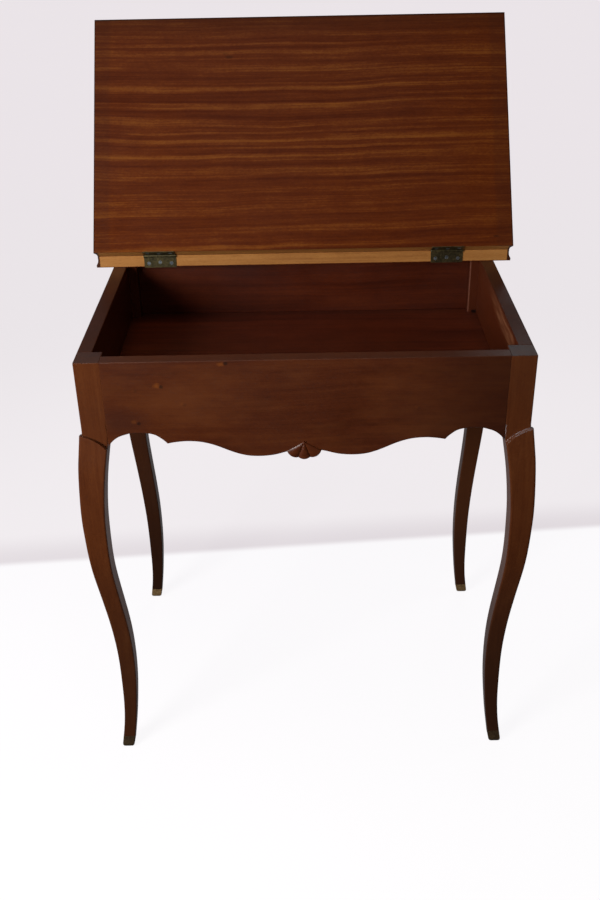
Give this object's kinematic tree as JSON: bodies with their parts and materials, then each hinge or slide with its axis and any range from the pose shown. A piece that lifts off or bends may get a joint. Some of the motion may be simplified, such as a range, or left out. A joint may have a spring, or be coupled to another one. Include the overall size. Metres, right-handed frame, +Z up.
{
  "type": "sewing table",
  "caption": "Small mahogany sewing table on square cabriole legs, with serpentine aprons, a carved shell and a shallow compartment under a leaf hinged to a fixed rear strip.",
  "frame": {"origin": "on the floor, under the middle of the overall box with the leaf open on its stop", "axes": "+Z up, +X to the right of a person facing the front, front faces -Y, the leaf leans back towards +Y"},
  "size_m": [0.653, 0.5906, 1.0168],
  "materials": {
    "leg_mahogany": "satin french-polished mahogany, vertical grain",
    "apron_mahogany": "satin french-polished mahogany, horizontal grain",
    "carved_mahogany": "satin carved mahogany",
    "floor_plywood": "thin stained plywood, horizontal grain",
    "top_veneer": "ribbon-striped mahogany veneer, satin polish",
    "top_core": "bare light hardwood",
    "top_lipping": "stained moulded edge lipping, satin",
    "beech_dowel": "bare beech",
    "aged_brass": "brass aged to dark olive brown",
    "screw_steel": "dulled steel countersunk screws",
    "hinge_pin_steel": "steel pin"
  },
  "bodies": {
    "table": {"apron_shell": "carved_mahogany", "floor_panel": "floor_plywood", "front_apron": "apron_mahogany", "front_left_leg": "leg_mahogany", "front_left_toe_cap": "aged_brass", "front_right_leg": "leg_mahogany", "front_right_toe_cap": "aged_brass", "hinge_screws_fixed": "screw_steel", "left_apron": "apron_mahogany", "left_hinge_fixed_leaf": "aged_brass", "left_hinge_pin": "hinge_pin_steel", "rear_apron": "apron_mahogany", "rear_left_leg": "leg_mahogany", "rear_left_toe_cap": "aged_brass", "rear_right_leg": "leg_mahogany", "rear_right_toe_cap": "aged_brass", "right_apron": "apron_mahogany", "right_hinge_fixed_leaf": "aged_brass", "right_hinge_pin": "hinge_pin_steel", "strip_core": "top_core", "strip_dowels": "beech_dowel", "strip_left_lipping": "top_lipping", "strip_rear_lipping": "top_lipping", "strip_right_lipping": "top_lipping", "strip_top_veneer": "top_veneer", "strip_underside_veneer": "top_veneer"},
    "lid": {"hinge_screws_moving": "screw_steel", "left_hinge_moving_leaf": "aged_brass", "lid_core": "top_core", "lid_front_lipping": "top_lipping", "lid_left_lipping": "top_lipping", "lid_right_lipping": "top_lipping", "lid_top_veneer": "top_veneer", "lid_underside_veneer": "top_veneer", "right_hinge_moving_leaf": "aged_brass"}
  },
  "joints": [
    {"name": "lid_hinge", "type": "hinge", "parent": "table", "child": "lid", "pos_m": [0, 0.07256, 0.697], "axis": [1, 0, 0], "range_deg": [0, 125.9]}
  ]
}
